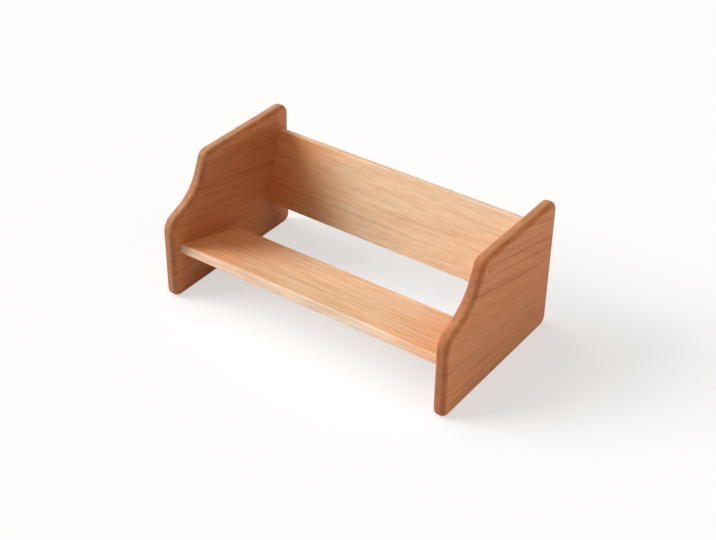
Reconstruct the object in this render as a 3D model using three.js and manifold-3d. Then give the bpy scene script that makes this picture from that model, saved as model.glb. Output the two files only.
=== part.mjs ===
// Open tabletop rack for picture books, in millimetres, +Z up.
// Two shaped end panels carry a shelf board that falls to the rear and a back board that leans to
// the rear. Blind fluted dowels in the ends of both boards hold them to the panels.
// The origin is on the table, midway along the length and the depth. The front faces -Y.

import * as THREE from 'three';
import { mergeVertices } from 'three/addons/utils/BufferGeometryUtils.js';
import Module from 'manifold-3d';

// Whole rack
const RACK_LENGTH = 502;

// End panels: setbacks run back from the front edge, heights run up from the table
const PANEL_THICKNESS = 20;
const PANEL_DEPTH = 283;
const PANEL_HEIGHT = 216;
const PANEL_ROUNDOVER = 8;
const FRONT_FOOT_RADIUS = 13;
const REAR_FOOT_RADIUS = 15;
const REAR_TOP_RADIUS = 16;

// S-curve of the panel's front: three corners joined by straight lines, each corner rounded
const FRONT_SHOULDER_HEIGHT = 131.5;
const FRONT_SHOULDER_RADIUS = 27;
const HOLLOW_SETBACK = 63;
const HOLLOW_HEIGHT = 156;
const HOLLOW_RADIUS = 76;
const TOP_SHOULDER_SETBACK = 87.3;
const TOP_SHOULDER_RADIUS = 17;

// Shelf board, placed by its upper front edge
const SHELF_SETBACK = 19.5;
const SHELF_FRONT_HEIGHT = 90.3;
const SHELF_WIDTH = 140;
const SHELF_THICKNESS = 14.5;
const SHELF_TILT = 16.3;

// Back board, placed by its upper front edge, from the panel's rear edge and top edge
const BACK_INSET_FROM_REAR = 24.3;
const BACK_DROP_FROM_TOP = 36.8;
const BACK_WIDTH = 119.6;
const BACK_THICKNESS = 15;
const BACK_TILT = 18;

// Eased long edges of both boards
const BOARD_EASING = 2;

// Dowel joints: three dowels in each end of each board
const DOWELS_PER_END = 3;
const DOWEL_DIAMETER = 8;
const DOWEL_FLUTES = 8;
const DOWEL_FLUTE_DEPTH = 0.35;
const DOWEL_CHAMFER = 1;
const DOWEL_EDGE_DISTANCE = 24;
const BOARD_HOLE_DEPTH = 20;
const PANEL_WOOD_BEYOND_HOLE = 6;

// Clearances
const JOINT_GAP = 0.3;
const DOWEL_CLEARANCE = 0.3;
const DOWEL_END_CLEARANCE = 1;

// Facets
const ARC_STEP = THREE.MathUtils.degToRad(5);
const ROUNDOVER_FACETS = 6;
const HOLE_SIDES = 16;
const POINTS_PER_FLUTE = 3;

// A cutter reaches this far past the face that it enters
const CUTTER_OVERRUN = 5;

const wasm = await Module();
wasm.setup();

const panelWood = new THREE.MeshStandardMaterial({ color: 0xb9794e, roughness: 0.5, metalness: 0 });
const boardWood = new THREE.MeshStandardMaterial({ color: 0xcb9064, roughness: 0.5, metalness: 0 });
const dowelWood = new THREE.MeshStandardMaterial({ color: 0xd9b98c, roughness: 0.7, metalness: 0 });

const boardLength = RACK_LENGTH - 2 * (PANEL_THICKNESS + JOINT_GAP);
const panelHoleDepth = PANEL_THICKNESS - PANEL_WOOD_BEYOND_HOLE;

// Solids for cutting

function toSolid(geometry) {
  const bare = geometry.clone();
  bare.deleteAttribute('normal');
  bare.deleteAttribute('uv');
  const merged = mergeVertices(bare, 1e-5);
  return new wasm.Manifold(
    new wasm.Mesh({
      numProp: 3,
      vertProperties: new Float32Array(merged.attributes.position.array),
      triVerts: new Uint32Array(merged.index.array),
    }),
  );
}

function toGeometry(solid) {
  const mesh = solid.getMesh();
  const geometry = new THREE.BufferGeometry();
  geometry.setAttribute('position', new THREE.BufferAttribute(mesh.vertProperties, 3));
  geometry.setIndex(new THREE.BufferAttribute(mesh.triVerts, 1));
  geometry.computeVertexNormals();
  return geometry;
}

function cutAway(geometry, cutters) {
  let solid = toSolid(geometry);
  for (const cutter of cutters) {
    solid = solid.subtract(toSolid(cutter));
  }
  return toGeometry(solid);
}

// Outlines

// A closed outline with each corner rounded to its radius, or to less where its sides are too short
function roundedOutline(corners) {
  const count = corners.length;
  const at = (index) => corners[(index + count) % count];
  const point = (index) => new THREE.Vector2(at(index).x, at(index).y);
  const toward = (from, to) => point(to).sub(point(from)).normalize();
  const turn = (index) => {
    const arriving = toward(index - 1, index);
    const leaving = toward(index, index + 1);
    return Math.atan2(arriving.cross(leaving), arriving.dot(leaving));
  };
  const reach = (index) => at(index).radius * Math.tan(Math.abs(turn(index)) / 2);
  const room = (index) => {
    const side = point(index).distanceTo(point(index + 1));
    return Math.min(1, side / (reach(index) + reach(index + 1)));
  };

  const points = [];
  for (let index = 0; index < count; index += 1) {
    const angle = turn(index);
    const share = Math.min(room(index - 1), room(index));
    const radius = at(index).radius * share;
    const arriving = toward(index - 1, index);
    const start = point(index).addScaledVector(arriving, -reach(index) * share);
    const inward = new THREE.Vector2(-arriving.y, arriving.x).multiplyScalar(Math.sign(angle) * radius);
    const centre = start.clone().add(inward);
    const steps = Math.max(1, Math.ceil(Math.abs(angle) / ARC_STEP));
    for (let step = 0; step <= steps; step += 1) {
      points.push(start.clone().rotateAround(centre, (angle * step) / steps));
    }
  }
  return new THREE.Shape(points);
}

// The outline of an end panel, with x back from its front edge and y up from the table
function panelOutline() {
  return roundedOutline([
    { x: 0, y: 0, radius: FRONT_FOOT_RADIUS },
    { x: PANEL_DEPTH, y: 0, radius: REAR_FOOT_RADIUS },
    { x: PANEL_DEPTH, y: PANEL_HEIGHT, radius: REAR_TOP_RADIUS },
    { x: TOP_SHOULDER_SETBACK, y: PANEL_HEIGHT, radius: TOP_SHOULDER_RADIUS },
    { x: HOLLOW_SETBACK, y: HOLLOW_HEIGHT, radius: HOLLOW_RADIUS },
    { x: 0, y: FRONT_SHOULDER_HEIGHT, radius: FRONT_SHOULDER_RADIUS },
  ]);
}

// The cross-section of a board, from its corner at the origin
function boardSection(across, up) {
  return roundedOutline([
    { x: 0, y: 0, radius: BOARD_EASING },
    { x: across, y: 0, radius: BOARD_EASING },
    { x: across, y: up, radius: BOARD_EASING },
    { x: 0, y: up, radius: BOARD_EASING },
  ]);
}

function dowelSection() {
  const points = [];
  const count = DOWEL_FLUTES * POINTS_PER_FLUTE;
  for (let index = 0; index < count; index += 1) {
    const isFlute = index % POINTS_PER_FLUTE === 0;
    const radius = DOWEL_DIAMETER / 2 - (isFlute ? DOWEL_FLUTE_DEPTH : 0);
    const angle = (2 * Math.PI * index) / count;
    points.push(new THREE.Vector2(radius * Math.cos(angle), radius * Math.sin(angle)));
  }
  return new THREE.Shape(points);
}

// A shape drawn with x towards the rear and y up, extruded from x = 0 along +X
const alongX = new THREE.Matrix4().makeBasis(
  new THREE.Vector3(0, 1, 0),
  new THREE.Vector3(0, 0, 1),
  new THREE.Vector3(1, 0, 0),
);

function extrudeAlongX(shape, length, edge, facets) {
  const geometry = new THREE.ExtrudeGeometry(shape, {
    depth: length - 2 * edge,
    steps: 1,
    bevelEnabled: edge > 0,
    bevelThickness: edge,
    bevelSize: edge,
    bevelOffset: -edge,
    bevelSegments: facets,
  });
  geometry.translate(0, 0, edge);
  return geometry.applyMatrix4(alongX);
}

// Boards, each in a group tilted about its upper front edge

function tiltedGroup(setback, height, tilt) {
  const group = new THREE.Group();
  group.position.set(0, setback - PANEL_DEPTH / 2, height);
  group.rotation.x = -THREE.MathUtils.degToRad(tilt);
  group.updateMatrix();
  return group;
}

// Centres of a board's dowels along its width, which starts at the given end
function dowelPlaces(start, width) {
  const places = [];
  const span = width - 2 * DOWEL_EDGE_DISTANCE;
  for (let index = 0; index < DOWELS_PER_END; index += 1) {
    places.push(start + DOWEL_EDGE_DISTANCE + (span * index) / (DOWELS_PER_END - 1));
  }
  return places;
}

const shelf = {
  name: 'shelf',
  group: tiltedGroup(SHELF_SETBACK, SHELF_FRONT_HEIGHT, SHELF_TILT),
  section: boardSection(SHELF_WIDTH, SHELF_THICKNESS),
  corner: new THREE.Vector2(0, -SHELF_THICKNESS),
  dowels: dowelPlaces(0, SHELF_WIDTH).map((across) => new THREE.Vector2(across, -SHELF_THICKNESS / 2)),
};

const back = {
  name: 'back',
  group: tiltedGroup(PANEL_DEPTH - BACK_INSET_FROM_REAR, PANEL_HEIGHT - BACK_DROP_FROM_TOP, BACK_TILT),
  section: boardSection(BACK_THICKNESS, BACK_WIDTH),
  corner: new THREE.Vector2(0, -BACK_WIDTH),
  dowels: dowelPlaces(-BACK_WIDTH, BACK_WIDTH).map((up) => new THREE.Vector2(BACK_THICKNESS / 2, up)),
};

const boards = [shelf, back];
const sides = [
  { name: 'left', sign: -1 },
  { name: 'right', sign: 1 },
];

// A round cutter along X, centred on a dowel, between two distances from the rack's middle
function holeCutter(place, side, inner, outer) {
  const radius = DOWEL_DIAMETER / 2 + DOWEL_CLEARANCE;
  const cutter = new THREE.CylinderGeometry(radius, radius, outer - inner, HOLE_SIDES);
  cutter.rotateZ(Math.PI / 2);
  cutter.translate((side.sign * (inner + outer)) / 2, place.x, place.y);
  return cutter;
}

function makeBoard(board) {
  const geometry = extrudeAlongX(board.section, boardLength, 0, 0);
  geometry.translate(-boardLength / 2, board.corner.x, board.corner.y);
  const end = boardLength / 2;
  const cutters = sides.flatMap((side) =>
    board.dowels.map((place) => holeCutter(place, side, end - BOARD_HOLE_DEPTH, end + CUTTER_OVERRUN)),
  );
  const mesh = new THREE.Mesh(cutAway(geometry, cutters), boardWood);
  mesh.name = `${board.name}_board`;
  return mesh;
}

// Dowels, from the bottom of the hole in the board to the bottom of the hole in the panel

function makeDowel(board, side, place, number) {
  const inner = boardLength / 2 - BOARD_HOLE_DEPTH + DOWEL_END_CLEARANCE;
  const outer = RACK_LENGTH / 2 - PANEL_WOOD_BEYOND_HOLE - DOWEL_END_CLEARANCE;
  const geometry = extrudeAlongX(dowelSection(), outer - inner, DOWEL_CHAMFER, 1);
  const mesh = new THREE.Mesh(geometry, dowelWood);
  mesh.name = `${board.name}_dowel_${side.name}_${number}`;
  mesh.position.set(side.sign > 0 ? inner : -outer, place.x, place.y);
  return mesh;
}

// End panels, with a blind hole for each dowel in the inner face

function makePanel(side) {
  const geometry = extrudeAlongX(panelOutline(), PANEL_THICKNESS, PANEL_ROUNDOVER, ROUNDOVER_FACETS);
  const inner = RACK_LENGTH / 2 - PANEL_THICKNESS;
  geometry.translate(side.sign > 0 ? inner : -RACK_LENGTH / 2, -PANEL_DEPTH / 2, 0);
  const cutters = boards.flatMap((board) =>
    board.dowels.map((place) =>
      holeCutter(place, side, inner - CUTTER_OVERRUN, inner + panelHoleDepth).applyMatrix4(board.group.matrix),
    ),
  );
  const mesh = new THREE.Mesh(cutAway(geometry, cutters), panelWood);
  mesh.name = `${side.name}_end_panel`;
  return mesh;
}

const rack = new THREE.Group();
for (const side of sides) {
  rack.add(makePanel(side));
}
for (const board of boards) {
  board.group.add(makeBoard(board));
  for (const side of sides) {
    board.dowels.forEach((place, index) => board.group.add(makeDowel(board, side, place, index + 1)));
  }
  rack.add(board.group);
}

export default rack;
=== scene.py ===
"""Open tabletop rack for picture books: the looks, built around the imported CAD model.

Metres, in the CAD frame: +X along the rack to its right-hand end, -Y out of its front, +Z up.
"""

import math

import bpy
import numpy as np
from mathutils import Euler, Matrix, Vector
from mathutils.geometry import convex_hull_2d, tessellate_polygon


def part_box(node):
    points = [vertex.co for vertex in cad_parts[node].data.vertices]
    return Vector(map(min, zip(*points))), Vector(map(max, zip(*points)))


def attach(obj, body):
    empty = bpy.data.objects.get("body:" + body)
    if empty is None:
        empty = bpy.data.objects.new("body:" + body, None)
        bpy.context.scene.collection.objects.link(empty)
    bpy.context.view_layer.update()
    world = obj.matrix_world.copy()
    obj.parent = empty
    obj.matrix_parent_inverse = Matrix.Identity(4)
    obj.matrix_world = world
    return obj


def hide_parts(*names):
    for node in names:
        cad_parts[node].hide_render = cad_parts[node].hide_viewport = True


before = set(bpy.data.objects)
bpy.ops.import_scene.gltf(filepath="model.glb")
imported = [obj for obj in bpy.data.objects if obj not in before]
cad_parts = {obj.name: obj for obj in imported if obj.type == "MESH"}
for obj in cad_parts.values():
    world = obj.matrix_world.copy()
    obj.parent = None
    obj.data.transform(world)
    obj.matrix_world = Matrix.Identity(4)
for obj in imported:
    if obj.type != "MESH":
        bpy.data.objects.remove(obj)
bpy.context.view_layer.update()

# Camera: where the photograph was taken from, in degrees round and up, and its lens in millimetres
CAMERA_PLACE = (1.0124, -1.4370, 1.2757)
CAMERA_AZIMUTH = 35.0
CAMERA_ELEVATION = 34.446
CAMERA_ROLL = 0.871
CAMERA_SENSOR = 36.0
CAMERA_LENS = 72.112

# Pieces
BODY = "root"
PANELS = {"left": "left_end_panel", "right": "right_end_panel"}
BOARDS = {"shelf": "shelf_board", "back": "back_board"}
SAME_PLACE = 1e-5
ROUND_DIGITS = 6
ROUNDOVER_STEPS = 12
HOLE_STEPS = 32
HOLE_CLEARANCE = 0.0003
HOLE_END_CLEARANCE = 0.001
SHORT_SIDE = 0.004
EDGE_RUBBING_AND_PAINTED_LIGHT = "edge_rubbing_and_painted_light"

# Wood, in millimetres: the figure of each piece, set out from a point of its own.
# "slopes" are how fast the grain falls per millimetre along it, below and above "fan";
# "sway" and "waves" are how far it wanders in long and in short stretches;
# "pith" is where the tree's middle lies across and through the piece, "spacing" is from ring
# to ring, and "seed" sets its noises apart from those of the other pieces;
# "rings", "fibres" and "streaks" are how strongly each of these shows;
# "ends" is how much painted shade darkens and reddens its left-hand and right-hand ends, the left one on the
# faces only;
# "end_tint" is for its end grain, "edge_tint" for its long narrow edges
# and "round_tint" for what is rounded off: painted shade on the panels, a painted highlight with wear on the
# boards;
# "lines" are single dark growth lines as (height, strength);
# "knots" are small swirls as (along, height, half length, half height, lift);
# "flecks" are small dark gum marks as (along, height, half length, half height, strength).
MILLIMETRES = 1000.0
FIGURES = {
    "left_end": {
        "slopes": (0.09, 0.18), "fan": (70.0, 140.0), "sway": 10.0, "waves": 3.5,
        "pith": (-90.0, -70.0), "spacing": 12.0, "seed": 11.0,
        "rings": 0.2, "fibres": 0.5, "streaks": 0.9,
        "ends": (0.0, 0.0), "end_tint": (0.83, 0.91, 1.08),
        "edge_tint": (0.97, 1.32, 1.75), "round_tint": (0.78, 0.60, 0.45),
        "lines": ((147.0, 0.55), (69.0, 0.3), (182.0, 0.25)),
        "knots": ((197.0, 190.0, 6.0, 20.0, 6.0),),
        "flecks": ((192.0, 197.0, 2.2, 9.0, 0.5), (199.0, 183.0, 2.2, 8.0, 0.45)),
    },
    "right_end": {
        "slopes": (0.05, 0.25), "fan": (85.0, 150.0), "sway": 10.0, "waves": 3.5,
        "pith": (-110.0, 60.0), "spacing": 13.0, "seed": 4.0,
        "rings": 0.2, "fibres": 0.5, "streaks": 0.9,
        "ends": (0.0, 0.0), "end_tint": (0.74, 0.70, 0.70),
        "edge_tint": (0.93, 1.10, 1.25), "round_tint": (0.80, 0.66, 0.52),
        "lines": ((146.0, 0.6), (171.0, 0.5), (189.0, 0.55)),
        "knots": ((97.0, 183.0, 16.0, 9.0, 10.0),),
        "flecks": ((88.0, 177.0, 8.0, 2.0, 0.4),),
    },
    "shelf_plank": {
        "slopes": (0.012, -0.006), "fan": (-70.0, 70.0), "sway": 6.0, "waves": 4.5,
        "pith": (-210.0, -200.0), "spacing": 3.6, "seed": 23.0,
        "rings": 0.35, "fibres": 0.75, "streaks": 2.0,
        "ends": (0.8, 0.6), "end_tint": (0.78, 0.80, 0.81),
        "edge_tint": (0.95, 1.04, 1.22), "round_tint": (1.04, 1.08, 1.12),
        "lines": (),
        "knots": (),
        "flecks": (),
    },
    "back_plank": {
        "slopes": (-0.008, 0.010), "fan": (-60.0, 60.0), "sway": 5.0, "waves": 4.5,
        "pith": (-190.0, 150.0), "spacing": 3.4, "seed": 37.0,
        "rings": 0.45, "fibres": 1.1, "streaks": 1.45,
        "ends": (1.0, 0.07), "end_tint": (0.78, 0.80, 0.81),
        "edge_tint": (1.04, 1.12, 1.22), "round_tint": (1.04, 1.08, 1.12),
        "lines": (),
        "knots": (),
        "flecks": (),
    },
}
DOWEL_FIGURE = {
    "slopes": (0.0, 0.0), "fan": (-50.0, 50.0), "sway": 2.0, "waves": 2.0,
    "pith": (-60.0, 40.0), "spacing": 2.2, "seed": 51.0,
    "rings": 0.3, "fibres": 0.5, "streaks": 0.3,
    "ends": (0.0, 0.0), "end_tint": (0.78, 0.80, 0.81),
    "edge_tint": (1.0, 1.0, 1.0), "round_tint": (1.0, 1.0, 1.0),
    "lines": (),
    "knots": (),
    "flecks": (),
}
SEED_STEP = 1000.0
GRAIN_MIDDLE = 150.0

# Directions along the grain, across it and through the piece; a board's come from its section
PANEL_AXES = (Vector((0, 1, 0)), Vector((0, 0, 1)), Vector((1, 0, 0)))
DOWEL_AXES = (Vector((1, 0, 0)), Vector((0, 1, 0)), Vector((0, 0, 1)))

# Cells of the wood's noises: along the grain, across and through it
SWAY_CELL = (260.0, 110.0, 110.0)
WAVE_CELL = (30.0, 8.0, 8.0)
FADE_CELL = (45.0, 60.0, 60.0)
FIBRE_CELL = (22.0, 1.5, 1.5)
STREAK_CELL = (75.0, 6.0, 6.0)
BREAK_CELL = (30.0, 3.0, 3.0)
PORE_CELL = (5.0, 0.35, 0.35)
TINT_CELL = (190.0, 38.0, 38.0)
EDGE_PATCH_CELL = (25.0, 25.0, 25.0)
COARSE_DETAIL = 1.0
MEDIUM_DETAIL = 2.0
FINE_DETAIL = 3.0
NOISE_MEAN = 0.5

# Growth rings: how each one darkens and breaks off, and how uneven they are
LATE_WOOD_RISE = (0.15, 0.7)
LATE_WOOD_END = (1.0, 0.8)
RING_GROUP = 6.0
RING_UNEVENNESS = 3.0
WEAKEST_RING = 0.4
FAINTEST_STRETCH = 0.3
LINE_HALF_WIDTH = 1.9
LINE_STRENGTH = 0.9
LINE_FADING = 2.0

# Where on the noises, the normals and the length each effect begins and is whole,
# and how much of the round edges' painted shade and highlight is there at least
BREAK_RANGE = (-0.12, 0.12)
PORE_RANGE = (0.13, 0.22)
WARM_RANGE = (-0.2, 0.2)
EDGE_PATCH_RANGE = (-0.15, 0.2)
END_GRAIN_RANGE = (0.1, 0.95)
LONG_EDGE_RANGE = (0.8, 0.99)
# Along a board, where the painted shade at its left-hand and right-hand ends begins and is whole
LEFT_END_RANGE = (-60.0, -215.0)
RIGHT_END_RANGE = (90.0, 235.0)
LEAST_EDGE_PATCH = 0.4

# Colours, linear: wood grown early and late in the year, and tints that multiply it
PANEL_COLORS = ((0.58, 0.25, 0.114), (0.345, 0.115, 0.046))
SHELF_COLORS = ((0.86, 0.63, 0.425), (0.645, 0.375, 0.222))
BACK_COLORS = ((0.86, 0.66, 0.46), (0.645, 0.425, 0.262))
BOARD_COLORS = {"shelf": SHELF_COLORS, "back": BACK_COLORS}
DOWEL_COLORS = ((0.74, 0.55, 0.34), (0.52, 0.33, 0.17))
MEAN_TONE = 0.2
PORE_SHARE = 0.5
PORE_TINT = (0.72, 0.62, 0.55, 1.0)
WARM_TINT = (1.03, 0.93, 0.84, 1.0)
# Painted shade at the boards' ends: the left panel's shadow, and a dimmer right-hand end of the shelf
PAINTED_END_SHADE_TINT = (0.95, 0.62, 0.41, 1.0)

# Finish: satin oil
ROUGHNESS = 0.5
FIBRE_ROUGHNESS = 0.25
RING_ROUGHNESS = 0.06
HANDLED_ROUGHNESS = -0.06
SPECULAR_LEVEL = 0.1
FIBRE_RELIEF = 0.6
RING_RELIEF = 0.3
PORE_RELIEF = -0.8
BUMP_STRENGTH = 0.25
BUMP_DISTANCE = 0.0003

# Places of the colour sockets among the Mix node's inputs and outputs
MIX_FIRST_COLOR = 6
MIX_SECOND_COLOR = 7
MIX_RESULT_COLOR = 2

# Stage: the floor, and lamps far off in degrees round from the front and up;
# a lamp's level is what a white surface facing it renders as
FLOOR_HALF_WIDTH = 20.0
FLOOR_DROP = 0.0002
FLOOR_COLOR = (0.92, 0.96, 0.99, 1.0)
FLOOR_ROUGHNESS = 0.9
FLOOR_OWN_WHITE = 0.6
WHITE = (1.0, 1.0, 1.0, 1.0)
WHITE_LIGHT = (1.0, 1.0, 1.0)
WARM_LIGHT = (1.0, 0.82, 0.64)
LAMPS = {
    "key": {"azimuth": -58.0, "elevation": 31.0, "level": 0.96, "spread": 36.0, "color": WHITE_LIGHT},
    "left": {"azimuth": -90.0, "elevation": 55.0, "level": 0.33, "spread": 40.0, "color": WHITE_LIGHT},
    "top": {"azimuth": 0.0, "elevation": 88.0, "level": 0.14, "spread": 60.0, "color": WARM_LIGHT},
    "right": {"azimuth": 90.0, "elevation": 45.0, "level": 0.19, "spread": 40.0, "color": WARM_LIGHT},
    "low_right": {"azimuth": 92.0, "elevation": 0.8, "level": 0.31, "spread": 4.0, "color": WHITE_LIGHT},
}


# Mesh building


def add_object(name, data):
    thing = bpy.data.objects.new(name, data)
    bpy.context.scene.collection.objects.link(thing)
    return thing


class Solid:
    """Collects the faces of one closed mesh, with a normal for each corner of each face."""

    def __init__(self):
        self.points = []
        self.rubbing_and_light_mask = []
        self.faces = []
        self.normals = []

    def add_ring(self, ring, rubbing_and_light_mask=None):
        start = len(self.points)
        self.points.extend(tuple(point) for point in ring)
        self.rubbing_and_light_mask.extend(np.zeros(len(ring)) if rubbing_and_light_mask is None else rubbing_and_light_mask)
        return list(range(start, start + len(ring)))

    def add_face(self, corners, normals):
        self.faces.append(tuple(corners))
        self.normals.append([tuple(normal) for normal in normals])

    def bridge(self, first, second, first_normals, second_normals):
        """Quads from one ring of corners to the next.

        Towards +X they face away from the rings' middle, and towards -X they face it, as in a hole.
        """
        count = len(first)
        for here in range(count):
            after = (here + 1) % count
            self.add_face(
                (first[here], first[after], second[after], second[here]),
                (first_normals[here], first_normals[after], second_normals[after], second_normals[here]),
            )

    def cap(self, rings, normal):
        """A flat face bounded by its first ring of corners, with the others as holes in it."""
        corners = [corner for ring in rings for corner in ring]
        loops = [[Vector(self.points[corner]) for corner in ring] for ring in rings]
        facing = Vector(normal)
        for triangle in tessellate_polygon(loops):
            a, b, c = (corners[index] for index in triangle)
            pa, pb, pc = (Vector(self.points[corner]) for corner in (a, b, c))
            if (pb - pa).cross(pc - pa).dot(facing) < 0:
                b, c = c, b
            self.add_face((a, b, c), (normal,) * 3)

    def drill(self, hole, face_x, inward):
        """The wall and bottom of a blind hole along X; returns the ring of its mouth."""
        turns = np.linspace(0, 2 * math.pi, HOLE_STEPS, endpoint=False)
        spokes = np.column_stack([np.cos(turns), np.sin(turns)])
        circle = hole["centre"] + hole["radius"] * spokes
        mouth = self.add_ring(at_x(face_x, circle))
        bottom = self.add_ring(at_x(hole["bottom"], circle))
        walls = at_x(0, -spokes)
        if inward > 0:
            self.bridge(bottom, mouth, walls, walls)
        else:
            self.bridge(mouth, bottom, walls, walls)
        self.cap([bottom], (-inward, 0, 0))
        return mouth

    def make(self, name):
        mesh = bpy.data.meshes.new(name)
        mesh.from_pydata(self.points, [], self.faces)
        # The round edges' mask, for their wear and their painted shade or painted highlight
        mesh.attributes.new(EDGE_RUBBING_AND_PAINTED_LIGHT, "FLOAT", "POINT").data.foreach_set("value", self.rubbing_and_light_mask)
        mesh.shade_smooth()
        mesh.normals_split_custom_set([normal for face in self.normals for normal in face])
        mesh.validate()
        return add_object(name, mesh)


def at_x(x, section):
    """Points of a (y, z) section, at one place along the rack."""
    return np.column_stack([np.full(len(section), x), section])


def node_points(node):
    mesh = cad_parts[node].data
    points = np.empty(len(mesh.vertices) * 3)
    mesh.vertices.foreach_get("co", points)
    return points.reshape(-1, 3)


def in_order(points):
    """Distinct outline points, anticlockwise round their middle as seen with y to the right and z up."""
    distinct = np.unique(np.round(points, ROUND_DIGITS), axis=0)
    middle = (distinct.min(axis=0) + distinct.max(axis=0)) / 2
    away = distinct - middle
    return distinct[np.argsort(np.arctan2(away[:, 1], away[:, 0]))]


def outward(outline):
    """The outline's outward normals, led at each point by the longer of its two sides."""
    side = np.roll(outline, -1, axis=0) - outline
    across = np.column_stack([side[:, 1], -side[:, 0]])
    total = across + np.roll(across, 1, axis=0)
    return total / np.linalg.norm(total, axis=1)[:, None]


def panel_outline(node):
    """An end panel's full outline, and the radius that its edges are rounded to."""
    points = node_points(node)
    low = points.min(axis=0)
    front_edge = points[points[:, 1] < low[1] + SAME_PLACE]
    ring_x = front_edge[:, 0].min()
    ring = points[abs(points[:, 0] - ring_x) < SAME_PLACE]
    return in_order(ring[:, 1:]), ring_x - low[0]


def board_section(node):
    """A board's section, with its eased edges."""
    points = node_points(node)
    end = points[points[:, 0] < points[:, 0].min() + SAME_PLACE]
    section = np.unique(np.round(end[:, 1:], ROUND_DIGITS), axis=0)
    return in_order(section[convex_hull_2d([Vector(point) for point in section])])


def eased(section):
    """1 at the points inside a section's eased corners, 0 where its flats begin."""
    side = np.linalg.norm(np.roll(section, -1, axis=0) - section, axis=1)
    short = side < SHORT_SIDE
    return (short & np.roll(short, 1)).astype(float)


def board_axes(node):
    """A board's directions along its grain, across its width and through its thickness."""
    section = board_section(node)
    side = np.roll(section, -1, axis=0) - section
    longest = side[np.argmax(np.linalg.norm(side, axis=1))]
    across = Vector((0, *longest)).normalized()
    if across.z < 0:
        across = -across
    along = Vector((1, 0, 0))
    return along, across, along.cross(across)


def dowel_holes(boards, side, in_panel):
    """The blind holes for the dowels on one side of the rack, in the panel or in the boards."""
    holes = []
    for board in boards:
        prefix = f"{board}_dowel_{side}_"
        for node in sorted(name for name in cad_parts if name.startswith(prefix)):
            low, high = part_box(node)
            right_hand_end = (side == "right") == in_panel
            bottom = high.x + HOLE_END_CLEARANCE if right_hand_end else low.x - HOLE_END_CLEARANCE
            holes.append({
                "centre": np.array([(low.y + high.y) / 2, (low.z + high.z) / 2]),
                "radius": (high.y - low.y) / 2 + HOLE_CLEARANCE,
                "bottom": bottom,
            })
    return holes


def make_panel(side, node):
    """An end panel with round edges, and blind dowel holes in its inner face."""
    outline, radius = panel_outline(node)
    normals = outward(outline)
    low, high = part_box(node)
    solid = Solid()
    rings = []
    ring_normals = []
    angles = np.linspace(0, math.pi / 2, ROUNDOVER_STEPS + 1)
    for face_x, sense, steps in ((low.x, -1, angles), (high.x, 1, angles[::-1])):
        for angle in steps:
            x = face_x - sense * radius * (1 - math.cos(angle))
            inset = radius * (1 - math.sin(angle))
            # The roundover's mask for wear and painted shade, greatest halfway round it
            rubbing_and_light_mask = np.full(len(outline), math.sin(2 * angle))
            rings.append(solid.add_ring(at_x(x, outline - inset * normals), rubbing_and_light_mask))
            ring_normals.append(at_x(sense * math.cos(angle), normals * math.sin(angle)))
    for here in range(len(rings) - 1):
        solid.bridge(rings[here], rings[here + 1], ring_normals[here], ring_normals[here + 1])
    inward = 1 if side == "right" else -1
    inner_x = low.x if side == "right" else high.x
    mouths = [solid.drill(hole, inner_x, inward) for hole in dowel_holes(BOARDS, side, True)]
    inner_ring, outer_ring = (rings[0], rings[-1]) if side == "right" else (rings[-1], rings[0])
    solid.cap([inner_ring, *mouths], (-inward, 0, 0))
    solid.cap([outer_ring], (inward, 0, 0))
    return solid.make(f"{side}_end")


def make_board(board, node):
    """A board that reaches from panel to panel, with blind dowel holes in both ends."""
    section = board_section(node)
    normals = at_x(0, outward(section))
    left_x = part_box(PANELS["left"])[1].x
    right_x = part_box(PANELS["right"])[0].x
    solid = Solid()
    # The eased corners carry the board's wear and painted highlight
    left = solid.add_ring(at_x(left_x, section), eased(section))
    right = solid.add_ring(at_x(right_x, section), eased(section))
    solid.bridge(left, right, normals, normals)
    for side, ring, face_x, inward in (("left", left, left_x, 1), ("right", right, right_x, -1)):
        mouths = [solid.drill(hole, face_x, inward) for hole in dowel_holes([board], side, False)]
        solid.cap([ring, *mouths], (-inward, 0, 0))
    return solid.make(f"{board}_plank")


# Materials


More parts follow.
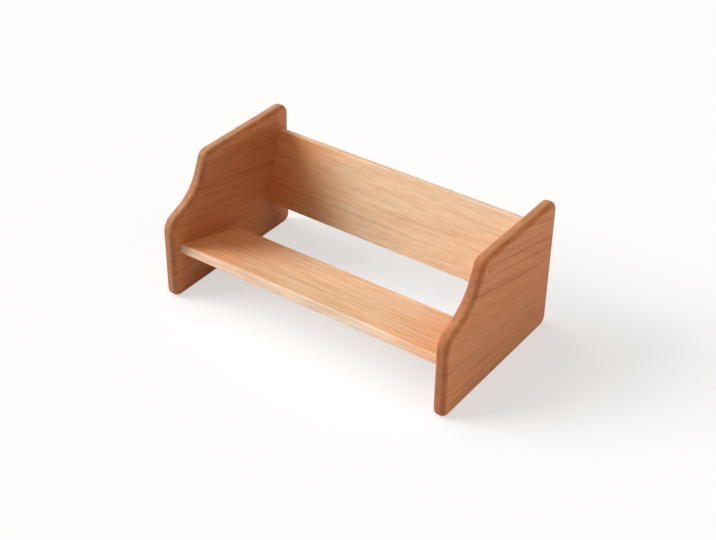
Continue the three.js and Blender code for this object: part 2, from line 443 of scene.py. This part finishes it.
class Shading:
    """A new material with its main shader, and short ways to add nodes to it."""

    def __init__(self, name):
        self.material = bpy.data.materials.new(name)
        self.material.use_nodes = True
        self.tree = self.material.node_tree
        self.shader = self.tree.nodes["Principled BSDF"]

    def feed(self, socket, value):
        if isinstance(value, bpy.types.NodeSocket):
            self.tree.links.new(value, socket)
        else:
            socket.default_value = value

    def node(self, kind, *values, **settings):
        """Add a node, with its settings made and its first inputs fed in order."""
        node = self.tree.nodes.new(f"ShaderNode{kind}")
        for setting, value in settings.items():
            setattr(node, setting, value)
        for socket, value in zip(node.inputs, values):
            self.feed(socket, value)
        return node

    def math(self, operation, *values):
        return self.node("Math", *values, operation=operation).outputs[0]

    def vector(self, operation, *values):
        node = self.node("VectorMath", *values, operation=operation)
        return node.outputs["Value"] if operation == "DOT_PRODUCT" else node.outputs["Vector"]

    def noise(self, place, lengths, detail=MEDIUM_DETAIL):
        """Noise about zero, in cells of these lengths along the three axes."""
        scaled = self.vector("DIVIDE", place, lengths)
        node = self.node("TexNoise", scaled)
        node.inputs["Scale"].default_value = 1.0
        node.inputs["Detail"].default_value = detail
        return self.math("SUBTRACT", node.outputs[0], NOISE_MEAN)

    def step(self, value, low, high, from_value=0.0, to_value=1.0):
        """A smooth step between two values."""
        node = self.node("MapRange", value, low, high, from_value, to_value)
        node.interpolation_type = "SMOOTHSTEP"
        return node.outputs[0]

    def total(self, *values):
        result = values[0]
        for value in values[1:]:
            result = self.math("ADD", result, value)
        return result

    def tint(self, color, factor, shade, blend="MULTIPLY"):
        """A colour blended with another as far as the factor says."""
        node = self.node("Mix", factor, data_type="RGBA", blend_type=blend)
        self.feed(node.inputs[MIX_FIRST_COLOR], color)
        self.feed(node.inputs[MIX_SECOND_COLOR], shade)
        return node.outputs[MIX_RESULT_COLOR]

    def facing(self, axis):
        """How squarely the surface faces along an axis, either way."""
        normal = self.node("NewGeometry").outputs["Normal"]
        return self.math("ABSOLUTE", self.vector("DOT_PRODUCT", normal, tuple(axis)))

    def hill(self, *offsets):
        """1 where all the offsets are 0, falling smoothly to 0 round about."""
        squares = [self.math("MULTIPLY", offset, offset) for offset in offsets]
        return self.math("EXPONENT", self.math("MULTIPLY", self.total(*squares), -1.0))


def spot(kit, along, height, middle_along, middle_height, half_length, half_height):
    """1 at one place on a piece's face, falling smoothly to 0 round about it."""
    beside = kit.math("DIVIDE", kit.math("SUBTRACT", along, middle_along), half_length)
    above = kit.math("DIVIDE", kit.math("SUBTRACT", height, middle_height), half_height)
    return kit.hill(beside, above)


def grain_height(kit, figure, along, across, place):
    """Height across the grain, with its fall, sway, small waves and knots taken up."""
    slope = kit.step(across, *figure["fan"], *figure["slopes"])
    fall = kit.math("MULTIPLY", kit.math("SUBTRACT", along, GRAIN_MIDDLE), slope)
    sway = kit.math("MULTIPLY", kit.noise(place, SWAY_CELL), figure["sway"])
    waves = kit.math("MULTIPLY", kit.noise(place, WAVE_CELL), figure["waves"])
    height = kit.total(across, fall, sway, waves)
    for *where, lift in figure["knots"]:
        height = kit.total(height, kit.math("MULTIPLY", spot(kit, along, across, *where), lift))
    return height


def growth_rings(kit, figure, height, through, grown):
    """How much late wood there is: uneven rings round the pith, each fading in and out along the grain."""
    pith_across, pith_through = figure["pith"]
    up = kit.math("SUBTRACT", height, pith_across)
    out = kit.math("SUBTRACT", through, pith_through)
    radius = kit.math("SQRT", kit.total(kit.math("MULTIPLY", up, up), kit.math("MULTIPLY", out, out)))
    uneven = kit.node("TexNoise", noise_dimensions="1D")
    kit.feed(uneven.inputs["W"], kit.math("DIVIDE", radius, RING_GROUP * figure["spacing"]))
    uneven.inputs["Scale"].default_value = 1.0
    count = kit.total(
        kit.math("DIVIDE", radius, figure["spacing"]),
        kit.math("MULTIPLY", uneven.outputs[0], RING_UNEVENNESS),
        figure["seed"],
    )
    ring = kit.node("TexWhiteNoise", noise_dimensions="1D")
    kit.feed(ring.inputs["W"], kit.math("FLOOR", count))
    strength = kit.step(ring.outputs["Value"], 0.0, 1.0, WEAKEST_RING, 1.0)
    part = kit.math("FRACT", count)
    late = kit.math("MULTIPLY", kit.step(part, *LATE_WOOD_RISE), kit.step(part, *LATE_WOOD_END))
    stretch = kit.step(kit.noise(grown, BREAK_CELL), *BREAK_RANGE, FAINTEST_STRETCH, 1.0)
    return kit.math("MULTIPLY", late, kit.math("MULTIPLY", strength, stretch))


def dark_marks(kit, figure, along, height, place):
    """Gum flecks, and single dark lines that fade in and out, as late wood to lay over the rings."""
    marks = 0.0
    for *where, strength in figure["flecks"]:
        fleck = spot(kit, along, height, *where)
        marks = kit.math("MAXIMUM", marks, kit.math("MULTIPLY", fleck, strength / figure["rings"]))
    for line_height, strength in figure["lines"]:
        aside = kit.math("DIVIDE", kit.math("SUBTRACT", height, line_height), LINE_HALF_WIDTH)
        fading = kit.math("MULTIPLY", kit.noise(place, FADE_CELL), LINE_FADING)
        line = kit.math("MULTIPLY", kit.hill(aside), kit.math("ADD", fading, LINE_STRENGTH))
        marks = kit.math("MAXIMUM", marks, kit.math("MULTIPLY", line, strength / figure["rings"]))
    return marks


def painted_end_shade(kit, figure, along, long_edge):
    """How far a piece's ends are darkened and reddened by painted shade, the left-hand one on its faces
    only.
    """
    left_share, right_share = figure["ends"]
    left = kit.step(along, *LEFT_END_RANGE, 0.0, left_share)
    left_faces = kit.math("MULTIPLY", left, kit.math("SUBTRACT", 1.0, long_edge))
    right = kit.step(along, *RIGHT_END_RANGE, 0.0, right_share)
    return kit.math("ADD", left_faces, right)


def satin_finish(kit, rings, fibres, pores, rubbed_and_painted_edges):
    """Rougher in the late wood and smoother where it is handled, with the grain slightly raised."""
    roughness = kit.total(
        ROUGHNESS,
        kit.math("MULTIPLY", fibres, FIBRE_ROUGHNESS),
        kit.math("MULTIPLY", rings, RING_ROUGHNESS),
        kit.math("MULTIPLY", rubbed_and_painted_edges, HANDLED_ROUGHNESS),
    )
    relief = kit.total(
        kit.math("MULTIPLY", fibres, FIBRE_RELIEF),
        kit.math("MULTIPLY", rings, RING_RELIEF),
        kit.math("MULTIPLY", pores, PORE_RELIEF),
    )
    bump = kit.node("Bump")
    bump.inputs["Strength"].default_value = BUMP_STRENGTH
    bump.inputs["Distance"].default_value = BUMP_DISTANCE
    kit.feed(bump.inputs["Height"], relief)
    kit.feed(kit.shader.inputs["Roughness"], roughness)
    kit.feed(kit.shader.inputs["Normal"], bump.outputs[0])
    kit.shader.inputs["Specular IOR Level"].default_value = SPECULAR_LEVEL


def wood(name, figure, colors, axes, start):
    """Oiled wood with growth rings, fibres and pores, end grain, worn round edges with painted shade on the
    panels and a painted highlight on the boards, and painted shade at the boards' ends.
    """
    kit = Shading(name)
    local = kit.vector("SUBTRACT", kit.node("TexCoord").outputs["Object"], start)
    along, across, through = (kit.vector("DOT_PRODUCT", local, MILLIMETRES * axis) for axis in axes)
    end_grain = kit.step(kit.facing(axes[0]), *END_GRAIN_RANGE)
    long_edge = kit.step(kit.facing(axes[1]), *LONG_EDGE_RANGE)

    # Rings, and fibres, streaks and pores drawn out along the grain
    seeded = kit.math("ADD", along, SEED_STEP * figure["seed"])
    place = kit.node("CombineXYZ", seeded, across, through).outputs[0]
    height = grain_height(kit, figure, along, across, place)
    grown = kit.node("CombineXYZ", seeded, height, through).outputs[0]
    marks = dark_marks(kit, figure, along, height, place)
    face_marks = kit.math("MULTIPLY", marks, kit.math("SUBTRACT", 1.0, end_grain))
    rings = kit.math("MAXIMUM", growth_rings(kit, figure, height, through, grown), face_marks)
    fibres = kit.noise(grown, FIBRE_CELL, FINE_DETAIL)
    streaks = kit.noise(grown, STREAK_CELL, FINE_DETAIL)
    pores = kit.step(kit.noise(grown, PORE_CELL, COARSE_DETAIL), *PORE_RANGE)
    # Round edges: worn smoother, with painted shade on the panels and a painted highlight on the boards
    edge_rubbing_and_painted_light = kit.node("Attribute", attribute_name=EDGE_RUBBING_AND_PAINTED_LIGHT).outputs["Fac"]
    edge_patchiness = kit.step(kit.noise(place, EDGE_PATCH_CELL), *EDGE_PATCH_RANGE, LEAST_EDGE_PATCH, 1.0)
    rubbed_and_painted_edges = kit.math("MULTIPLY", edge_rubbing_and_painted_light, edge_patchiness)

    # From early to late wood, with the tints over it
    tone = kit.total(
        MEAN_TONE,
        kit.math("MULTIPLY", rings, figure["rings"]),
        kit.math("MULTIPLY", fibres, figure["fibres"]),
        kit.math("MULTIPLY", streaks, figure["streaks"]),
    )
    tone = kit.math("MINIMUM", kit.math("MAXIMUM", tone, 0.0), 1.0)
    early_wood, late_wood = ((*color, 1.0) for color in colors)
    color = kit.tint(early_wood, tone, late_wood, "MIX")
    color = kit.tint(color, kit.step(kit.noise(place, TINT_CELL), *WARM_RANGE), WARM_TINT)
    color = kit.tint(color, kit.math("MULTIPLY", pores, PORE_SHARE), PORE_TINT)
    # painted shade at the boards' ends, darker and redder
    color = kit.tint(color, painted_end_shade(kit, figure, along, long_edge), PAINTED_END_SHADE_TINT)
    color = kit.tint(color, end_grain, (*figure["end_tint"], 1.0))
    color = kit.tint(color, long_edge, (*figure["edge_tint"], 1.0))
    # painted shade on the panels' roundovers, and a painted highlight with wear on the boards' eased edges
    color = kit.tint(color, rubbed_and_painted_edges, (*figure["round_tint"], 1.0))
    kit.feed(kit.shader.inputs["Base Color"], color)
    satin_finish(kit, rings, fibres, pores, rubbed_and_painted_edges)
    return kit.material


def background_rays(tree):
    """1 on the rays that show the white background: the camera's, and those in gloss and glass."""
    path = tree.nodes.new("ShaderNodeLightPath")
    shown = path.outputs["Is Camera Ray"]
    for kind in ("Is Glossy Ray", "Is Transmission Ray"):
        either = tree.nodes.new("ShaderNodeMath")
        either.operation = "MAXIMUM"
        tree.links.new(shown, either.inputs[0])
        tree.links.new(path.outputs[kind], either.inputs[1])
        shown = either.outputs[0]
    return shown


def floor_white(name):
    """A pale matt floor that the camera sees partly white, so that the shadows on it are faint."""
    kit = Shading(name)
    kit.shader.inputs["Base Color"].default_value = FLOOR_COLOR
    kit.shader.inputs["Roughness"].default_value = FLOOR_ROUGHNESS
    kit.shader.inputs["Specular IOR Level"].default_value = 0.0
    own_white = kit.node("Emission", WHITE, 1.0).outputs[0]
    share = kit.math("MULTIPLY", background_rays(kit.tree), FLOOR_OWN_WHITE)
    mixed = kit.node("MixShader", share, kit.shader.outputs[0], own_white)
    kit.feed(kit.tree.nodes["Material Output"].inputs["Surface"], mixed.outputs[0])
    return kit.material


# Stage


def add_floor():
    """A wide plain floor, a hair under the rack's feet."""
    half = FLOOR_HALF_WIDTH
    corners = [(x, y, -FLOOR_DROP) for x, y in ((-half, -half), (half, -half), (half, half), (-half, half))]
    mesh = bpy.data.meshes.new("floor")
    mesh.from_pydata(corners, [], [tuple(range(len(corners)))])
    mesh.materials.append(floor_white("floor_white"))
    add_object("floor", mesh)


def add_lamp(name, azimuth, elevation, level, spread, color):
    """A soft distant lamp."""
    data = bpy.data.lights.new(name, "SUN")
    data.energy = level * math.pi
    data.angle = math.radians(spread)
    data.color = color
    lamp = add_object(name, data)
    lamp.rotation_euler = Euler((math.radians(90 - elevation), 0, math.radians(azimuth)))


def add_world():
    """White where it is seen or mirrored, with no other light of its own."""
    world = bpy.data.worlds.new("studio")
    world.use_nodes = True
    tree = world.node_tree
    background = tree.nodes["Background"]
    background.inputs["Color"].default_value = WHITE
    tree.links.new(background_rays(tree), background.inputs["Strength"])
    bpy.context.scene.world = world


def add_camera():
    camera = add_object("camera", bpy.data.cameras.new("camera"))
    camera.data.sensor_width = CAMERA_SENSOR
    camera.data.lens = CAMERA_LENS
    turn = (
        Matrix.Rotation(math.radians(CAMERA_AZIMUTH), 4, "Z")
        @ Matrix.Rotation(math.radians(90 - CAMERA_ELEVATION), 4, "X")
        @ Matrix.Rotation(math.radians(CAMERA_ROLL), 4, "Z")
    )
    camera.matrix_world = Matrix.Translation(CAMERA_PLACE) @ turn
    bpy.context.scene.camera = camera


# Build


def dress(piece, node, material):
    piece.data.materials.append(material)
    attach(piece, BODY)
    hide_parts(node)


for side, node in PANELS.items():
    piece = make_panel(side, node)
    low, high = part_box(node)
    start = ((low.x + high.x) / 2, low.y, low.z)
    material = wood(f"{side}_panel_wood", FIGURES[piece.name], PANEL_COLORS, PANEL_AXES, start)
    dress(piece, node, material)

for board, node in BOARDS.items():
    piece = make_board(board, node)
    low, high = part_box(node)
    start = tuple((low + high) / 2)
    material = wood(f"{board}_board_wood", FIGURES[piece.name], BOARD_COLORS[board], board_axes(node), start)
    dress(piece, node, material)

dowel_wood = wood("dowel_wood", DOWEL_FIGURE, DOWEL_COLORS, DOWEL_AXES, (0.0, 0.0, 0.0))
for node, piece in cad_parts.items():
    if "_dowel_" in node:
        piece.data.materials.clear()
        piece.data.materials.append(dowel_wood)

add_floor()
for name, lamp in LAMPS.items():
    add_lamp(name, **lamp)
add_world()
add_camera()
bpy.context.scene.view_settings.view_transform = "Standard"
